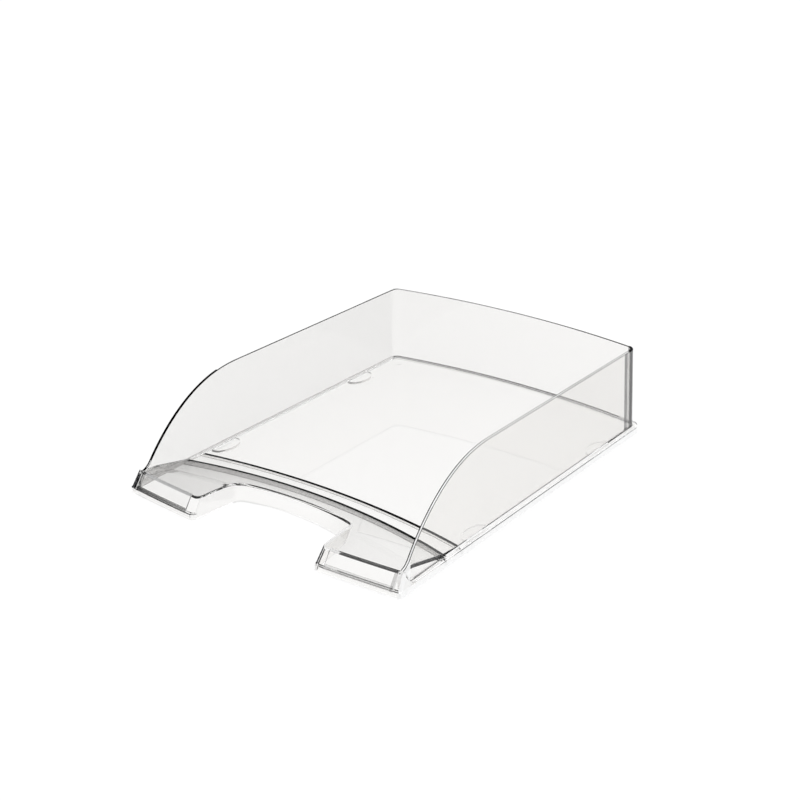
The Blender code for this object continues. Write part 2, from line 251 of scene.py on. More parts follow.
def wall_front_curve(n):
    start = math.asin(((CURVE_FOOT_Z - CURVE_Z0) / (HEIGHT - CURVE_Z0)) ** (CURVE_M / 2))
    swept = []
    for k in range(n + 1):
        t = start + (math.pi / 2 - start) * k / n
        y = CURVE_Y1 - (CURVE_Y1 - CURVE_Y0) * math.cos(t) ** (2 / CURVE_N)
        z = CURVE_Z0 + (HEIGHT - CURVE_Z0) * math.sin(t) ** (2 / CURVE_M)
        swept.append((y, z))
    swept[-1] = (CURVE_Y1, HEIGHT)
    p0 = np.array(swept[0])
    p1 = np.array((p0[0] - 3.9, FOOT_TOP + 0.1))
    p2 = np.array((WALL_FRONT_Y - 0.5, FOOT_TOP - 0.2))
    foot = []
    for k in range(14):
        t = k / 14
        foot.append(tuple((1 - t) ** 2 * p2 + 2 * t * (1 - t) * p1 + t * t * p0))
    return foot + swept


# ---- meshes --------------------------------------------------------------------------------------


def make_object(name, points, faces, helper=False):
    """An object in millimetres; to_metres brings a finished one to the frame's scale."""
    mesh = bpy.data.meshes.new(name)
    mesh.from_pydata([(x, y - Y_CENTRE, z) for x, y, z in points], [], faces)
    mesh.validate()
    bm = bmesh.new()
    bm.from_mesh(mesh)
    bmesh.ops.recalc_face_normals(bm, faces=bm.faces)
    bm.to_mesh(mesh)
    bm.free()
    obj = bpy.data.objects.new(name, mesh)
    bpy.context.scene.collection.objects.link(obj)
    if helper:
        obj.hide_render = True
        obj.display_type = "WIRE"
    return obj


def to_metres(obj):
    obj.data.transform(Matrix.Scale(MM, 4))
    obj.data.update()


def loft(levels):
    points, faces = [], []
    n = len(levels[0][1])
    for z, outline in levels:
        points += [(x, y, z) for x, y in outline]
    for k in range(len(levels) - 1):
        for i in range(n):
            j = (i + 1) % n
            faces.append((k * n + i, k * n + j, (k + 1) * n + j, (k + 1) * n + i))
    faces.append(tuple(range(n))[::-1])
    top = (len(levels) - 1) * n
    faces.append(tuple(range(top, top + n)))
    return points, faces


def height_solid(xs, rows, height, z_flat, shift=0.0):
    points, faces = [], []
    ny = len(rows(xs[0]))
    for x in xs:
        for y in rows(x):
            points.append((x, y, height(x, y) + shift))
    top = len(points)
    for x in xs:
        for y in rows(x):
            points.append((x, y, z_flat))
    nx = len(xs)
    for i in range(nx - 1):
        for j in range(ny - 1):
            a, b, c, d = i * ny + j, (i + 1) * ny + j, (i + 1) * ny + j + 1, i * ny + j + 1
            faces.append((a, b, c, d))
            faces.append((top + a, top + d, top + c, top + b))
    for i in range(nx - 1):
        for j in (0, ny - 1):
            a, b = i * ny + j, (i + 1) * ny + j
            faces.append((a, b, top + b, top + a))
    for j in range(ny - 1):
        for i in (0, nx - 1):
            a, b = i * ny + j, i * ny + j + 1
            faces.append((a, b, top + b, top + a))
    return points, faces


def prism_x(profile, x0, x1):
    n = len(profile)
    points = [(x0, y, z) for y, z in profile] + [(x1, y, z) for y, z in profile]
    faces = [tuple(range(n)), tuple(range(2 * n - 1, n - 1, -1))]
    for i in range(n):
        j = (i + 1) % n
        faces.append((i, j, n + j, n + i))
    return points, faces


def tube(rings):
    """A closed solid through rings of equal length, capped at both ends."""
    k = len(rings[0])
    points = [p for ring in rings for p in ring]
    faces = [tuple(range(k))[::-1], tuple(range(len(points) - k, len(points)))]
    for i in range(len(rings) - 1):
        for j in range(k):
            m = (j + 1) % k
            faces.append((i * k + j, i * k + m, (i + 1) * k + m, (i + 1) * k + j))
    return points, faces


def bent_strip(x0, x1, front_y, back_y, z0, z1, slant, n=17, split=None):
    corners = [(front_y, z0), (back_y, z0), (back_y, z1), (front_y, z1)]
    if split is not None:
        corners.insert(2, (back_y, split))
    rings = []
    for x in np.linspace(x0, x1, n):
        rings.append([(x, FRONT_BOW * x * x + depth + slant * z, z) for depth, z in corners])
    return tube(rings)


def cross_rib(which, z0, z1, half, n=49):
    rings = []
    r = 0.35
    for x in np.linspace(-half, half, n):
        y, t = ridge(x, which), RIB_THICK / 2
        rings.append(
            [(x, y + dy, z) for dy, z in ((-t + r, z0), (t - r, z0), (t, z0 + r), (t, z1), (-t, z1), (-t, z0 + r))]
        )
    return tube(rings)


def wall_ribbon():
    """The U-shaped wall as one band with a rounded top edge that follows the swept front."""
    half = WALL_X - WALL_THICK / 2
    back_y = BACK_WALL_Y - WALL_THICK / 2
    corner = CORNER_R_WALL - WALL_THICK / 2
    n_back = 49
    inner = np.linspace(half - 14, -half + 14, n_back - 2)
    chain = [(half, 200.0)] + [(x, back_y - BACK_BOW * x * x) for x in (half, *inner, -half)] + [(-half, 200.0)]
    radii = [0.0, corner] + [0.0] * (n_back - 2) + [corner, 0.0]
    path = fillet(chain, radii, 16)[1:-1]  # back part, right to left, without the two side ends
    curve = wall_front_curve(70)
    side = [(y, z) for y, z in curve] + [(y, HEIGHT) for y in np.linspace(136.0, path[0][1] - 12, 9)]
    side += [(path[0][1] - 7.5, HEIGHT), (path[0][1] - 4.0, HEIGHT)]
    stations = [(half, y, z) for y, z in side] + [(x, y, HEIGHT) for x, y in path]
    stations += [(-half, y, z) for y, z in side[::-1]]
    p = np.array(stations)
    tangent = np.gradient(p, axis=0)
    tangent /= np.linalg.norm(tangent, axis=1)[:, None]
    plan = tangent.copy()
    plan[:, 2] = 0.0
    plan /= np.linalg.norm(plan, axis=1)[:, None]
    outward = np.stack([plan[:, 1], -plan[:, 0], np.zeros(len(p))], 1)
    inward = np.cross(tangent, outward)
    inward *= np.where(inward[:, 2:3] > 0, -1.0, 1.0)
    t, r = WALL_THICK / 2, EDGE_R
    profile = []
    for k in range(6):
        a = math.pi / 2 * k / 5
        profile.append((t - r + r * math.cos(a), r - r * math.sin(a)))
    profile += [(-0.25, 0.0)] + [(-u, d) for u, d in profile[::-1]]
    rings = []
    for q, w, m in zip(p, outward, inward):
        ring = [q + w * u + m * d for u, d in profile]
        first, last = ring[0].copy(), ring[-1].copy()
        first[2] = last[2] = FLOOR_TOP - FLOOR_THICK - 0.02
        rings.append([tuple(v) for v in (first, *ring, last)])
    return tube(rings)


def wall_foot_fillet(outside, r=1.0):
    """The small concave fillet between the wall and the floor inside, or the rim outside."""
    half = WALL_X - WALL_THICK / 2
    back_y = BACK_WALL_Y - WALL_THICK / 2
    corner = CORNER_R_WALL - WALL_THICK / 2
    inner = np.linspace(half - 14, -half + 14, 47)
    chain = [(half, 200.0)] + [(x, back_y - BACK_BOW * x * x) for x in (half, *inner, -half)] + [(-half, 200.0)]
    path = fillet(chain, [0.0, corner] + [0.0] * 47 + [corner, 0.0], 16)[1:-1]
    start = 27.5 if outside else 19.5
    side = [start, *np.arange(30.0, 100.0, 3.0), *np.linspace(104.0, path[0][1] - 12, 9)]
    stations = [(half, y) for y in side] + path + [(-half, y) for y in side[::-1]]
    p = np.array(stations)
    tangent = np.gradient(p, axis=0)
    tangent /= np.linalg.norm(tangent, axis=1)[:, None]
    away = np.stack([tangent[:, 1], -tangent[:, 0]], 1) * (1 if outside else -1)
    t = WALL_THICK / 2
    profile = [(-0.6, -0.7), (-0.6, r)]
    for k in range(6):
        a = math.pi / 2 * k / 5
        profile.append((r - (r + 0.06) * math.cos(a), r - (r + 0.06) * math.sin(a)))
    profile.append((r, -0.7))
    rings = []
    for q, w in zip(p, away):
        ring = []
        for u, h in profile:
            x, y = q + w * (t + u)
            level = FLOOR_TOP if outside else floor_height(x, y)
            ring.append((x, y, level + h))
        rings.append(ring)
    return tube(rings)


def boolean(obj, other, operation):
    mod = obj.modifiers.new(operation.title() + "_" + other.name, "BOOLEAN")
    mod.operation = operation
    mod.solver = "EXACT"
    mod.object = other
    return mod


def apply_modifiers(obj):
    graph = bpy.context.evaluated_depsgraph_get()
    done = bpy.data.meshes.new_from_object(obj.evaluated_get(graph), depsgraph=graph)
    old = obj.data
    obj.modifiers.clear()
    obj.data = done
    bpy.data.meshes.remove(old)


def rounded_levels(z_top, outline_at, r=EDGE_R, n=4):
    """Top levels of a loft whose upper edge is rounded."""
    out = []
    for k in range(n + 1):
        a = math.pi / 2 * k / n
        out.append((z_top - r + r * math.sin(a), offset(outline_at(z_top - r + r * math.sin(a)), r * (1 - math.cos(a)))))
    return out


def build_moulding():
    # One body through the whole height of the feet, then cut to the top surface.
    levels = [(z, tray_outline(z)) for z in (0.0, PLINTH_TOP, PLINTH_TOP + 0.15)]
    levels += rounded_levels(FOOT_TOP, tray_outline, 0.5)
    tray = make_object("tray_moulding", *loft(levels))

    inner = WALL_X - WALL_THICK / 2
    edge = HALF_WIDTH - FLARE * FLOOR_TOP
    rounding = [math.sin(math.pi / 2 * k / 5) for k in range(6)]
    rim_x = [edge - FLANGE_R * (1 - k) for k in rounding]
    side_x = [inner, WALL_X - 0.4, *rim_x, 135.0]
    xs = sorted({-x for x in side_x} | set(side_x) | {float(x) for x in np.linspace(-118, 118, 45)})
    drop = [WING_Y0 + (WING_Y1 - WING_Y0) * (1 - math.cos(math.pi / 2 * k / 11)) for k in range(12)]

    def back_rows(x):
        line = BACK_WALL_Y + LEDGE - BACK_BOW * x * x
        return [150.0, 250.0, *[line - FLANGE_R * (1 - k) for k in rounding], 400.0]

    def rows(x):
        if abs(x) > inner + 0.1:
            return [-10.0, *drop, 28, 31, 35, 40, 45, 50, 55, 60, 66, 72, 80, *back_rows(x)]
        ya, yb = ridge(x, RIDGE_A), ridge(x, RIDGE_B)
        flat = yb - (FOOT_TOP - CREST_Z) / PAD_SLOPE
        eased = [flat + 4.0 * d for d in (-1, -0.75, -0.5, -0.25, 0, 0.25, 0.5, 0.75, 1)]
        crest = [yb + 1.2 * d for d in (-1.9, -1, -0.6, -0.2, 0.2, 0.6, 1)]
        foot = [ya + 1.2 * d for d in (-1.5, -1, -0.6, -0.2, 0.2, 0.6, 1)]
        return [-10.0, *eased, *crest, *foot, *back_rows(x)]

    def fall(d):
        """Depth of the rounded flange edge at distance d inside it."""
        if d >= FLANGE_R:
            return 0.0
        if d <= 0:
            return FLANGE_R
        return FLANGE_R - math.sqrt(FLANGE_R**2 - (FLANGE_R - d) ** 2)

    def out_height(x, y):
        top = wing_height(y) if abs(x) > inner + 0.1 else floor_height(x, y)
        if y > 60:
            line = BACK_WALL_Y + LEDGE - BACK_BOW * x * x
            top -= max(fall(edge - abs(x)), fall(line - y))
        elif top < FLOOR_TOP + 0.01:
            top -= fall(edge - abs(x))
        return top

    top = make_object("helper_top_surface", *height_solid(xs, rows, out_height, -5.0), helper=True)
    boolean(tray, top, "INTERSECT")
    hollow = make_object(
        "helper_hollow",
        *loft([(z, offset(tray_outline(z), SKIRT_THICK)) for z in (-2.0, 0.0, PLINTH_TOP, PLINTH_TOP + 0.15, FOOT_TOP)]),
        helper=True,
    )
    wx = WALL_X
    under_x = sorted({-135.0, 135.0, -wx - 0.3, wx + 0.3, -wx - 0.1, wx + 0.1} | {float(x) for x in np.linspace(-121, 121, 47)})

    def under_rows(x):
        if abs(x) > WALL_X + 0.2:
            return [-10.0, *drop, 30, 35, 40, 45, 50, 55, 60, 70, 80, 400.0]
        ya, yb = ridge(x, RIDGE_A), ridge(x, RIDGE_B)
        flat = yb - (FOOT_TOP - CREST_Z) / PAD_SLOPE
        eased = [flat + 4.0 * d for d in (-1, -0.75, -0.5, -0.25, 0, 0.25, 0.5, 0.75, 1)]
        crest = [yb + 1.2 * d for d in (-1, -0.6, -0.2, 0.2, 0.6, 1)]
        foot = [ya + 1.2 * d for d in (-1, -0.6, -0.2, 0.2, 0.6, 1)]
        return [-10.0, *eased, *crest, *foot, 400.0]

    def under_height(x, y):
        return wing_height(y) if abs(x) > WALL_X + 0.2 else floor_height(x, y)

    under = make_object(
        "helper_under_surface", *height_solid(under_x, under_rows, under_height, -6.0, -FLOOR_THICK), helper=True
    )
    boolean(hollow, under, "INTERSECT")
    boolean(tray, hollow, "DIFFERENCE")
    # The walls reach down to the underside of the floor, so under the pads they hang free.
    boolean(tray, make_object("helper_walls", *wall_ribbon(), helper=True), "UNION")

    boolean(tray, make_object("helper_fillet_in", *wall_foot_fillet(False), helper=True), "UNION")
    boolean(tray, make_object("helper_fillet_out", *wall_foot_fillet(True), helper=True), "UNION")

    # Ribs, lugs and pin marks hang from the underside of the floor.
    under_z = FLOOR_TOP - FLOOR_THICK
    boolean(tray, make_object("helper_rib_crest", *cross_rib(RIDGE_B, 0.05, CREST_Z - 1.2, 126.0), helper=True), "UNION")
    boolean(tray, make_object("helper_rib_floor", *cross_rib(RIDGE_A, 0.4, FLOOR_TOP - 1.2, 126.0), helper=True), "UNION")
    for side in (-1, 1):
        for k, y_mid in enumerate(LUG_Y):
            arc = []
            for i in range(33):
                t = -math.pi / 2 + math.pi * i / 32
                arc.append((side * (LUG_X - LUG_DEPTH * math.cos(t)), y_mid + LUG_LENGTH / 2 * math.sin(t)))
            arc += [(side * 122.5, y_mid + LUG_LENGTH / 2), (side * 122.5, y_mid - LUG_LENGTH / 2)]
            lug = make_object(f"helper_lug_{side + 1}_{k}", *loft([(0.5, arc), (under_z + 1.2, arc)]), helper=True)
            boolean(tray, lug, "UNION")
    for k, (x, y) in enumerate(((-112, 291), (112, 291), (-110, 331), (116, 329))):
        ring = [(x + 2.2 * math.cos(a), y + 2.2 * math.sin(a)) for a in np.linspace(0, 2 * math.pi, 24, endpoint=False)]
        pin = make_object(f"helper_pin_{k}", *loft([(under_z - 0.25, ring), (under_z + 0.8, ring)]), helper=True)
        boolean(tray, pin, "UNION")

    face_y = PLINTH_SET - FACE_SLANT * 4.4
    depth = POCKET_DEPTH * math.hypot(1, FACE_SLANT)
    for side in (-1, 1):
        x0, x1 = sorted((side * LABEL_X0, side * LABEL_X1))
        pocket = make_object(
            f"helper_pocket_{side + 1}",
            *bent_strip(x0, x1, face_y - 0.03, face_y + depth, POCKET_Z0, 16.0, FACE_SLANT, split=12.7),
            helper=True,
        )
        boolean(tray, pocket, "DIFFERENCE")
    apply_modifiers(tray)
    bm = bmesh.new()
    bm.from_mesh(tray.data)
    bmesh.ops.remove_doubles(bm, verts=bm.verts, dist=0.004)
    bm.to_mesh(tray.data)
    bm.free()
    to_metres(tray)
    for obj in list(bpy.data.objects):
        if obj.name.startswith("helper_"):
            bpy.data.objects.remove(obj, do_unlink=True)
    return tray


def finish_shading(obj, angle=32.0, weighted=True):
    for poly in obj.data.polygons:
        poly.use_smooth = True
    obj.data.set_sharp_from_angle(angle=math.radians(angle))
    if weighted:
        mod = obj.modifiers.new("Weighted_normals", "WEIGHTED_NORMAL")
        mod.mode = "FACE_AREA"
        mod.weight = 100
        mod.keep_sharp = True


def mark_zones(obj):
    """Material index per face, for the places where painted shade and light go on the clear moulding: 1 painted grey on
    rib sides, 2 painted near-black lines on creases and tight corners, 3 painted shade on the sloping pads, 4 and 5
    painted grey and pale haze on edges and a corner, 6 painted dark on the rounded sides of the rim, 7 painted dark
    lines at the back corner."""
    for poly in obj.data.polygons:
        x, y, z = poly.center / MM
        y += Y_CENTRE
        n = poly.normal
        ya, yb = ridge(x, RIDGE_A), ridge(x, RIDGE_B)
        turn = math.degrees(math.atan2(n.y, abs(n.x)))
        tangent_y = 335.3
        inner_line = abs(x) < WALL_X - WALL_THICK / 2 - 0.3 and y < BACK_WALL_Y - WALL_THICK / 2 - BACK_BOW * x * x - 0.3
        kind = 0
        crease = -1.85 < y - ya < 1.25 or -2.3 < y - yb < 1.25
        if z > 3.8 and n.z > 0.9 and abs(x) < 121 and crease:
            kind = 2
        elif n.z > 0.8 and 6.5 < z < 14.6 and abs(x) < 121 and y < yb:
            kind = 3
        elif z < 5.4 and n.z < 0.2 and abs(x) < 127 and abs(y - yb) < 1.6:
            kind = 2 if n.z < -0.3 else 1
        elif z < 3.7 and n.z < -0.3 and abs(x) < 127 and abs(y - ya) < 1.6:
            kind = 1
        elif 0.1 < n.z < 0.97 and y < 66 and z > 5.2 and 119.7 < abs(x) < 121.2:
            kind = 1
        elif 0.1 < n.z < 0.97 and y < 66 and 4.7 < z < 6.0 and 123.4 < abs(x) < 124.8:
            kind = 2 if x < 0 else 1
        elif -121.2 < x < -121.0 and abs(n.x) > 0.9 and y < 66 and z < floor_height(x, y) - 1.0:
            kind = 1
        elif x > 124.6 and n.x > 0.08 and n.y < -0.1 and z < 14.2 and y < 20:
            kind = 5
        elif x < -122.5 and n.y < -0.1 and PLINTH_TOP < z < 14.2 and y < 20:
            kind = 2
        elif 54 < x < 64 and n.x < -0.35 and n.y < -0.05 and y < 14 and z > PLINTH_TOP:
            kind = 2
        elif n.z > 0.5 and POCKET_Z0 - 0.1 < z < PLINTH_TOP + 0.2 and y < 16:
            kind = 2 if x < 0 else 1
        elif -122 < x < -65 and z > 12.8 and n.y < -0.5 and y < 24:
            kind = 4
        elif z < 0.05 and n.z < -0.9:
            kind = 5
        elif 40 < x < 66 and z > floor_height(x, y) - 0.6 and 0.1 < n.z < 0.97 and n.x < -0.4 and y < 45:
            kind = 2
        elif 119 < x < 126.8 and y < 24 and z < 14 and abs(n.x) > 0.3 and n.z < 0.3:
            kind = 5
        elif x > 117 and y > tangent_y - 3 and z > 69 and n.z > 0.1:
            kind = 2
        elif x > 114 and y > tangent_y - 11.9 and z > 6 and abs(n.z) < 0.3 and n.x > 0.3:
            kind = 1 if -7.4 < y - tangent_y < -4.1 else 7
        elif z > 14.7 and abs(x) > 121 and y < tangent_y:
            if abs(n.x) < 0.2 and x < 0:
                kind = 2 if y < 76 else 6 if y < 100 or inner_line else 5
            elif abs(n.x) < 0.2:
                kind = 5 if not inner_line else 2 if y < 96 else 6
            elif abs(n.x) < 0.95:
                kind = 2 if y < 96 else 6
        elif z > 69.5 and n.z > 0.1:
            kind = 5 if n.z > 0.97 and not inner_line else 6
        elif y > tangent_y and 4.85 < z < 5.9 and 0.1 < n.z < 0.97 and abs(x) < 121 and n.y < 0:
            kind = 6
        elif x > 123.4 and 66 < y < tangent_y - 40 and 4.7 < z < 6.0 and 0.1 < n.z < 0.97:
            kind = 5
        elif 105 < x < 122.6 and abs(n.z) < 0.3 and z < 2.6 and y > 90:
            kind = 5
        elif abs(x) > 126.6 and z < 4.9 and y > 27 and 0.05 < n.z < 0.97:
            kind = 5
        elif 124.9 < abs(x) < 125.4 and z < 4 and y > 27 and abs(n.x) > 0.9:
            kind = 5
        poly.material_index = kind


def build_label(word, side):
    """A thin clear strip with rounded corners and edges, standing in its label field."""
    slant = FACE_SLANT
    k = math.hypot(1, slant)
    face_y = PLINTH_SET - slant * 4.4
    back = face_y + (POCKET_DEPTH - LABEL_GAP) * k
    front = back - LABEL_THICK * k
    x0, x1 = sorted((side * LABEL_X0, side * LABEL_X1))
    x0, x1 = x0 + LABEL_GAP, x1 - LABEL_GAP
    z0, z1 = POCKET_Z0 + 0.35, LABEL_TOP
    corner = 1.2
    outline = [(x0, z0), (x1, z0), (x1, z1), (x0, z1)]
    line = []
    for x, z in fillet(outline, [corner] * 4, 8):
        line.append((x, z))
    # More points along the long edges, so that the strip follows the bowed face.
    dense = []
    for i, a in enumerate(line):
        b = line[(i + 1) % len(line)]
        dense.append(a)
        if abs(b[0] - a[0]) > 8:
            for t in np.linspace(0, 1, 14)[1:-1]:
                dense.append((a[0] + (b[0] - a[0]) * t, a[1] + (b[1] - a[1]) * t))
    rings = []
    for depth, inset in ((front, 0.12), (front + 0.12, 0.0), (back - 0.12, 0.0), (back, 0.12)):
        ring = []
        for x, z in offset(dense, inset) if inset else dense:
            ring.append((x, FRONT_BOW * x * x + depth + slant * z, z))
        rings.append(ring)
    points = [p for ring in rings for p in ring]
    n = len(dense)
    faces = []
    for i in range(3):
        for j in range(n):
            m = (j + 1) % n
            faces.append((i * n + j, i * n + m, (i + 1) * n + m, (i + 1) * n + j))
    obj = make_object(f"label_strip_{word}_film", points, faces)
    bm = bmesh.new()
    bm.from_mesh(obj.data)
    bm.verts.ensure_lookup_table()
    for base in (0, 3 * n):
        bm.faces.new([bm.verts[base + j] for j in range(n)])
    bmesh.ops.recalc_face_normals(bm, faces=bm.faces)
    ngons = [f for f in bm.faces if len(f.verts) > 8]
    bmesh.ops.triangulate(bm, faces=ngons)
    bm.to_mesh(obj.data)
    bm.free()
    # The bead that stiffens the lower edge.
    bead = make_object(
        "helper_bead", *bent_strip(x0 + 0.5, x1 - 0.5, front - 0.28, front + 0.25, z0 + 0.1, z0 + 2.4, slant), helper=True
    )
    boolean(obj, bead, "UNION")
    apply_modifiers(obj)
    bpy.data.objects.remove(bead, do_unlink=True)
    to_metres(obj)
    return obj


def mark_bead(obj):
    """Material 1, which carries painted shade that varies from side to side, on the bead, which stands in front of the
    strip's face, and 2, a painted pale haze, on the end by the wall.
    """
    face = PLINTH_SET - FACE_SLANT * 4.4 + (POCKET_DEPTH - LABEL_GAP - LABEL_THICK) * math.hypot(1, FACE_SLANT)
    for poly in obj.data.polygons:
        x, y, z = poly.center / MM
        depth = y + Y_CENTRE - FRONT_BOW * x * x - FACE_SLANT * z
        bead = depth < face - 0.02 and z < POCKET_Z0 + 2.9
        poly.material_index = 1 if bead else 2 if x > 0 and poly.normal.x > 0.5 else 0


# ---- materials -----------------------------------------------------------------------------------


def clear_plastic(name, tint, shadow, rough_low, rough_high, ripple, scale, ior=1.59, across=(1.0, 1.0), haze=0.0):
    """Clear moulded plastic: faint flow ripple, uneven polish and a tint that drifts a little.

    The tint is scaled from the first to the second value of across, from the left side to the right: painted shade that
    makes one side darker than the other. Haze trades transmission for a diffuse look, used for painted grey and pale
    lines.

    Shadow and diffuse rays pass straight through, as light does through a thin clear sheet.
    """
    mat = bpy.data.materials.new(name)
    mat.use_nodes = True
    nt = mat.node_tree
    nt.nodes.clear()
    node = lambda kind, x, y: (lambda n: (setattr(n, "location", (x, y)), n)[1])(nt.nodes.new(kind))
    link = nt.links.new
    out = node("ShaderNodeOutputMaterial", 900, 0)
    bsdf = node("ShaderNodeBsdfPrincipled", 300, 0)
    bsdf.inputs["Transmission Weight"].default_value = 1.0 - haze
    bsdf.inputs["IOR"].default_value = ior
    bsdf.inputs["Metallic"].default_value = 0.0
    coords = node("ShaderNodeTexCoord", -1100, 0)
    # Tint: slow drift between two almost equal greys.
    drift = node("ShaderNodeTexNoise", -800, 300)
    drift.inputs["Scale"].default_value = scale * 0.35
    drift.inputs["Detail"].default_value = 2.0
    tints = node("ShaderNodeValToRGB", -500, 300)
    tints.color_ramp.elements[0].position, tints.color_ramp.elements[1].position = 0.3, 0.7
    tints.color_ramp.elements[0].color = (*[c * 0.992 for c in tint], 1)
    tints.color_ramp.elements[1].color = (*tint, 1)
    link(coords.outputs["Object"], drift.inputs["Vector"])
    link(drift.outputs["Fac"], tints.inputs["Fac"])
    place = node("ShaderNodeSeparateXYZ", -800, 500)
    link(coords.outputs["Object"], place.inputs[0])
    # Painted shade across the part: the tint is scaled along x between the two values of across.
    density = node("ShaderNodeMapRange", -500, 500)
    density.name = "density"
    density.inputs["From Min"].default_value, density.inputs["From Max"].default_value = -0.12, 0.12
    density.inputs["To Min"].default_value, density.inputs["To Max"].default_value = across
    link(place.outputs["X"], density.inputs["Value"])
    scaled = node("ShaderNodeVectorMath", -150, 350)
    scaled.operation = "SCALE"
    link(tints.outputs["Color"], scaled.inputs[0])
    link(density.outputs["Result"], scaled.inputs["Scale"])
    # Painted shade: the base colour is made nearly black where light leaves towards the ground at an angle far from the
    # straight line of sight, as it is when only the part of the studio straight behind a clear object is lit: painted
    # dark outlines.
    math_node = lambda kind, x, y: (lambda n: (setattr(n, "operation", kind), n)[1])(node("ShaderNodeVectorMath", x, y))
    eye = node("ShaderNodeVectorTransform", -1300, 900)
    eye.vector_type, eye.convert_from, eye.convert_to = "POINT", "CAMERA", "WORLD"
    eye.inputs[0].default_value = (0, 0, 0)
    surface = node("ShaderNodeNewGeometry", -1300, 700)
    sight = math_node("SUBTRACT", -1100, 900)
    link(surface.outputs["Position"], sight.inputs[0])
    link(eye.outputs[0], sight.inputs[1])
    straight = math_node("NORMALIZE", -950, 900)
    link(sight.outputs[0], straight.inputs[0])
    ahead = math_node("SCALE", -1100, 700)
    ahead.inputs["Scale"].default_value = -1.0
    link(surface.outputs["Incoming"], ahead.inputs[0])
    leaving = math_node("REFRACT", -950, 700)
    leaving.inputs["Scale"].default_value = ior
    link(ahead.outputs[0], leaving.inputs[0])
    link(surface.outputs["Normal"], leaving.inputs[1])
    cosine = math_node("DOT_PRODUCT", -800, 800)
    link(straight.outputs[0], cosine.inputs[0])
    link(leaving.outputs[0], cosine.inputs[1])
    bent = node("ShaderNodeMapRange", -650, 800)
    bent.name = "bent"
    bent.interpolation_type = "SMOOTHSTEP"
    bent.inputs["From Min"].default_value = math.cos(math.radians(14))
    bent.inputs["From Max"].default_value = math.cos(math.radians(50))
    link(cosine.outputs["Value"], bent.inputs["Value"])
    heading = node("ShaderNodeSeparateXYZ", -800, 650)
    link(leaving.outputs[0], heading.inputs[0])
    down = node("ShaderNodeMath", -650, 650)
    down.operation = "LESS_THAN"
    down.inputs[1].default_value = -0.01
    link(heading.outputs["Z"], down.inputs[0])
    gate = node("ShaderNodeMath", -500, 700)
    gate.operation = "MULTIPLY"
    link(bent.outputs["Result"], gate.inputs[0])
    link(down.outputs[0], gate.inputs[1])
    exits = node("ShaderNodeMath", -350, 700)
    exits.operation = "MULTIPLY"
    link(gate.outputs[0], exits.inputs[0])
    link(surface.outputs["Backfacing"], exits.inputs[1])
    keep = node("ShaderNodeMapRange", -200, 700)
    keep.name = "keep"
    keep.inputs["To Min"].default_value, keep.inputs["To Max"].default_value = 1.0, 0.0012
    link(exits.outputs[0], keep.inputs["Value"])
    dimmed = math_node("SCALE", 0, 350)
    link(scaled.outputs[0], dimmed.inputs[0])
    link(keep.outputs["Result"], dimmed.inputs["Scale"])
    link(dimmed.outputs[0], bsdf.inputs["Base Color"])
    # Polish: noise picks the roughness.
    polish = node("ShaderNodeTexNoise", -800, 0)
    polish.inputs["Scale"].default_value = scale * 2.2
    polish.inputs["Detail"].default_value = 3.0
    rough = node("ShaderNodeMapRange", -500, 0)
    rough.inputs["From Min"].default_value, rough.inputs["From Max"].default_value = 0.35, 0.7
    rough.inputs["To Min"].default_value, rough.inputs["To Max"].default_value = rough_low, rough_high
    link(coords.outputs["Object"], polish.inputs["Vector"])
    link(polish.outputs["Fac"], rough.inputs["Value"])
    link(rough.outputs["Result"], bsdf.inputs["Roughness"])
    # Ripple: long shallow flow marks.
    stretch = node("ShaderNodeMapping", -950, -350)
    stretch.inputs["Scale"].default_value = (1.0, 0.35, 1.0)
    flow = node("ShaderNodeTexNoise", -750, -350)
    flow.inputs["Scale"].default_value = scale
    flow.inputs["Detail"].default_value = 1.5
    bump = node("ShaderNodeBump", -400, -350)
    bump.inputs["Strength"].default_value = ripple
    bump.inputs["Distance"].default_value = 0.001
    link(coords.outputs["Object"], stretch.inputs["Vector"])
    link(stretch.outputs["Vector"], flow.inputs["Vector"])
    link(flow.outputs["Fac"], bump.inputs["Height"])
    link(bump.outputs["Normal"], bsdf.inputs["Normal"])
    # Straight through for shadow and diffuse rays.
    path = node("ShaderNodeLightPath", 0, 400)
    either = node("ShaderNodeMath", 250, 400)
    either.operation = "MAXIMUM"
    link(path.outputs["Is Shadow Ray"], either.inputs[0])
    link(path.outputs["Is Diffuse Ray"], either.inputs[1])
    # Faces that light grazes, such as ribs and walls from above, pass less of it: a thin clear part
    # throws a pale shadow with darker outlines.
    graze = node("ShaderNodeLayerWeight", -300, 600)
    graze.inputs["Blend"].default_value = 0.5
    dim = node("ShaderNodeMix", 0, 650)
    dim.data_type = "RGBA"
    dim.name = "shadow_tint"
    dim.inputs["A"].default_value = (*shadow, 1)
    dim.inputs["B"].default_value = (0.96, 0.96, 0.96, 1)
    link(graze.outputs["Facing"], dim.inputs["Factor"])
    through = node("ShaderNodeBsdfTransparent", 300, 200)
    link(dim.outputs["Result"], through.inputs["Color"])
    mix = node("ShaderNodeMixShader", 650, 0)
    link(either.outputs[0], mix.inputs["Fac"])
    link(bsdf.outputs["BSDF"], mix.inputs[1])
    link(through.outputs["BSDF"], mix.inputs[2])
    link(mix.outputs["Shader"], out.inputs["Surface"])
    return mat


def floor_material():
    mat = bpy.data.materials.new("studio_floor")
    mat.use_nodes = True
    nt = mat.node_tree
    nt.nodes.clear()
    out = nt.nodes.new("ShaderNodeOutputMaterial")
    white = nt.nodes.new("ShaderNodeBsdfDiffuse")
    white.inputs["Color"].default_value = (0.9, 0.9, 0.9, 1)
    nt.links.new(white.outputs[0], out.inputs["Surface"])
    return mat


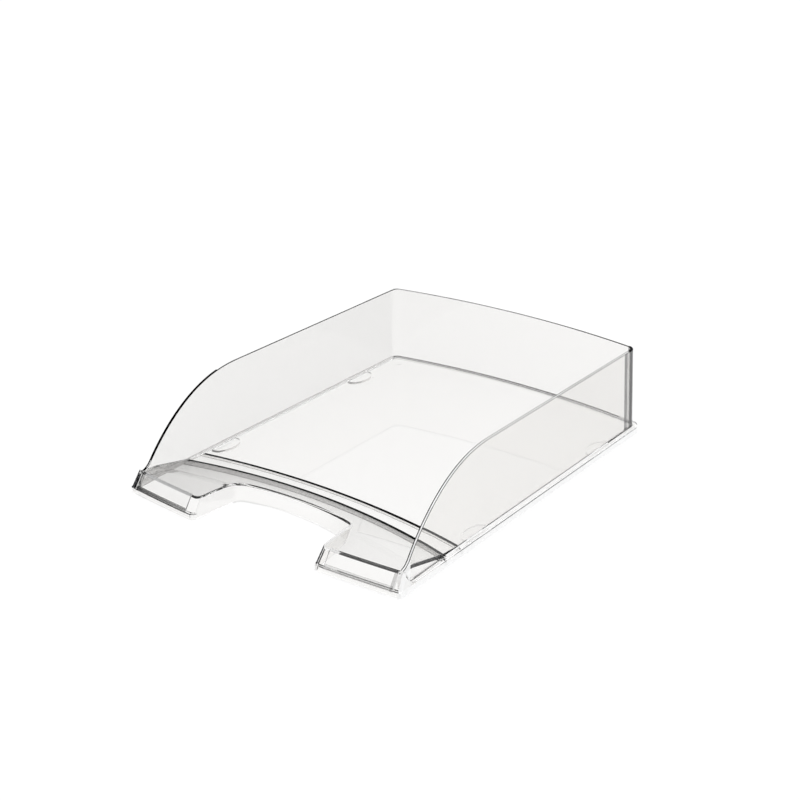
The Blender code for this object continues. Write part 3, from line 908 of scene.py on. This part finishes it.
def studio():
    size = 14.0
    mesh = bpy.data.meshes.new("studio_floor")
    z = -0.0004
    mesh.from_pydata([(-size, -size, z), (size, -size, z), (size, size, z), (-size, size, z)], [], [(0, 1, 2, 3)])
    floor = bpy.data.objects.new("studio_floor", mesh)
    bpy.context.scene.collection.objects.link(floor)
    mesh.materials.append(floor_material())

    key = bpy.data.lights.new("soft_overhead", "SUN")
    key.energy = 1.15
    key.angle = math.radians(70)
    key_obj = bpy.data.objects.new("soft_overhead", key)
    key_obj.rotation_euler = (math.radians(-12), math.radians(10), 0)
    bpy.context.scene.collection.objects.link(key_obj)

    world = bpy.data.worlds.new("studio")
    bpy.context.scene.world = world
    world.use_nodes = True
    nt = world.node_tree
    link = nt.links.new
    back = nt.nodes["Background"]
    coords = nt.nodes.new("ShaderNodeTexCoord")
    split = nt.nodes.new("ShaderNodeSeparateXYZ")
    link(coords.outputs["Generated"], split.inputs[0])
    # The sweep behind the object, by height; low down it falls off to the left.
    sweep = nt.nodes.new("ShaderNodeValToRGB")
    sweep.name = "sweep"
    stops = ((0.0, 0.8), (0.5, 0.8), (1.0, 1.0))
    while len(sweep.color_ramp.elements) < len(stops):
        sweep.color_ramp.elements.new(0.5)
    for element, (place, level) in zip(sweep.color_ramp.elements, stops):
        element.position = place
        element.color = (level, level, level, 1)
    link(split.outputs["Z"], sweep.inputs["Fac"])
    across = nt.nodes.new("ShaderNodeVectorMath")
    across.operation = "DOT_PRODUCT"
    across.inputs[1].default_value = (0.75, 0.66, 0.0)
    link(coords.outputs["Generated"], across.inputs[0])
    low = nt.nodes.new("ShaderNodeMapRange")
    low.name = "low"
    low.interpolation_type = "SMOOTHSTEP"
    low.inputs["From Min"].default_value, low.inputs["From Max"].default_value = -0.1, 0.1
    low.inputs["To Min"].default_value, low.inputs["To Max"].default_value = 0.25, 0.9
    link(across.outputs["Value"], low.inputs["Value"])
    lift = nt.nodes.new("ShaderNodeMapRange")
    lift.name = "lift"
    lift.interpolation_type = "SMOOTHSTEP"
    lift.inputs["From Min"].default_value, lift.inputs["From Max"].default_value = 0.16, 0.4
    link(split.outputs["Z"], lift.inputs["Value"])
    rise = nt.nodes.new("ShaderNodeMix")
    rise.name = "rise"
    rise.data_type = "RGBA"
    link(lift.outputs["Result"], rise.inputs["Factor"])
    link(low.outputs["Result"], rise.inputs["A"])
    link(sweep.outputs["Color"], rise.inputs["B"])
    # A dimmer room on the camera's side.
    toward = nt.nodes.new("ShaderNodeVectorMath")
    toward.operation = "DOT_PRODUCT"
    toward.inputs[1].default_value = (0.592, -0.806, 0.0)
    link(coords.outputs["Generated"], toward.inputs[0])
    side = nt.nodes.new("ShaderNodeMapRange")
    side.name = "side"
    side.interpolation_type = "SMOOTHSTEP"
    side.inputs["From Min"].default_value, side.inputs["From Max"].default_value = -0.2, 0.4
    link(toward.outputs["Value"], side.inputs["Value"])
    blend = nt.nodes.new("ShaderNodeMix")
    blend.name = "room"
    blend.data_type = "RGBA"
    blend.inputs["B"].default_value = (0.7, 0.7, 0.7, 1)
    link(side.outputs["Result"], blend.inputs["Factor"])
    link(rise.outputs["Result"], blend.inputs["A"])
    # The camera itself sees a plain white backdrop above the floor.
    path = nt.nodes.new("ShaderNodeLightPath")
    plain = nt.nodes.new("ShaderNodeMix")
    plain.name = "backdrop"
    plain.data_type = "RGBA"
    plain.inputs["B"].default_value = (1.0, 1.0, 1.0, 1)
    link(path.outputs["Is Camera Ray"], plain.inputs["Factor"])
    link(blend.outputs["Result"], plain.inputs["A"])
    link(plain.outputs["Result"], back.inputs["Color"])
    back.inputs["Strength"].default_value = 1.0


def camera():
    """The camera at the picture's viewing angle. The picture is a crop below the lens axis, so the
    camera is shifted; the shift belongs to this place only and is nought when the camera is moved."""
    data = bpy.data.cameras.new("camera")
    cam = bpy.data.objects.new("camera", data)
    bpy.context.scene.collection.objects.link(cam)
    az, el, roll = math.radians(CAM["az"]), math.radians(CAM["el"]), math.radians(CAM["roll"])
    forward = Vector((-math.sin(az) * math.cos(el), math.cos(az) * math.cos(el), -math.sin(el)))
    right = Vector((math.cos(az), math.sin(az), 0.0))
    up = right.cross(forward)
    r2 = math.cos(roll) * right + math.sin(roll) * up
    u2 = -math.sin(roll) * right + math.cos(roll) * up
    m = Matrix((r2, u2, -forward)).transposed().to_4x4()
    m.translation = Vector((CAM["x"] * MM, (CAM["y"] - Y_CENTRE) * MM, CAM["z"] * MM))
    cam.matrix_world = m
    data.sensor_width = 36.0
    data.lens = 36.0 * CAM["f"] / 800.0
    data.clip_start, data.clip_end = 0.01, 100.0
    here = cam.location.x
    for channel, value in (("shift_x", (400 - CAM["px"]) / 800), ("shift_y", (CAM["py"] - 400) / 800)):
        setattr(data, channel, value)
        driver = data.driver_add(channel).driver
        driver.type = "SCRIPTED"
        var = driver.variables.new()
        var.name = "place"
        var.type = "SINGLE_PROP"
        var.targets[0].id_type = "OBJECT"
        var.targets[0].id = cam
        var.targets[0].data_path = "location.x"
        driver.expression = f"{value:.6f} if place > {here - 0.0005:.6f} and place < {here + 0.0005:.6f} else 0.0"
    bpy.context.scene.camera = cam
    return cam


CAM = {
    "x": 713.1, "y": -792.1, "z": 550.7, "az": 38.67, "el": 5.84, "roll": -0.4, "f": 1570.9, "px": 331.88, "py": -74.73,
}

moulding = build_moulding()
finish_shading(moulding)
moulding.data.materials.clear()
# Painted shade and light, zone by zone: the plain material darker towards the left side; a grey one for rib sides; a
# near-black one for the lines at creases and tight corners; one darker on the pads, most at the left; two with a grey
# and a pale haze for edges and a corner; a dark one for the rounded rim; a near-black one for the lines of the back
# corner.
for kind, tint, options in (
    ("", (1.0, 0.992, 0.98), {"across": (0.957, 1.0)}),
    ("_ribs", (0.42, 0.415, 0.41), {}),
    ("_creases", (0.003, 0.003, 0.0034), {"ior": 1.04}),
    ("_pads", (1.0, 0.99, 0.973), {"across": (0.53, 0.83)}),
    ("_hazy_edges", (0.8, 0.8, 0.8), {"haze": 0.6}),
    ("_hazy_corner", (0.98, 0.98, 0.98), {"haze": 0.85}),
    ("_rim_edges", (0.2, 0.2, 0.205), {"ior": 1.12}),
    ("_back_corner", (0.09, 0.09, 0.092), {}),
):
    shadow = (1.0, 1.0, 1.0) if kind in ("", "_pads") else (0.97, 0.97, 0.97)
    plastic = clear_plastic("clear_moulded_plastic" + kind, tint, shadow, 0.0, 0.02, 0.03, 14.0, **options)
    moulding.data.materials.append(plastic)
mark_zones(moulding)
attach(moulding, "tray")
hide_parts("letter_tray_moulding")

# Painted shade: the left film is a little darker, the bead darkens from side to side, near black at the left end of the
# left one, and the end by the wall has a painted pale haze.
for word, side, film_painted_shade, bead_painted_shade in (("left", -1, 0.96, (0.004, 0.7)), ("right", 1, 1.0, (0.9, 0.7))):
    strip = build_label(word, side)
    finish_shading(strip)
    strip.data.materials.clear()
    strip.data.materials.append(
        clear_plastic(f"clear_strip_film_{word}", (film_painted_shade,) * 3, (0.99,) * 3, 0.01, 0.05, 0.02, 30.0, 1.5)
    )
    strip.data.materials.append(
        clear_plastic(f"clear_strip_bead_{word}", (0.9, 0.9, 0.9), (0.97,) * 3, 0.01, 0.05, 0.02, 30.0, 1.5, bead_painted_shade)
    )
    strip.data.materials.append(
        clear_plastic(f"clear_strip_end_{word}", (0.98, 0.98, 0.98), (0.97,) * 3, 0.01, 0.05, 0.02, 30.0, 1.5, haze=0.85)
    )
    mark_bead(strip)
    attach(strip, f"label_{word}")
    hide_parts(f"label_strip_{word}")

studio()
camera()
scene = bpy.context.scene
scene.view_settings.view_transform = "Standard"
scene.view_settings.look = "None"
scene.cycles.max_bounces = 28
scene.cycles.transmission_bounces = 28
scene.cycles.glossy_bounces = 16
scene.cycles.transparent_max_bounces = 40
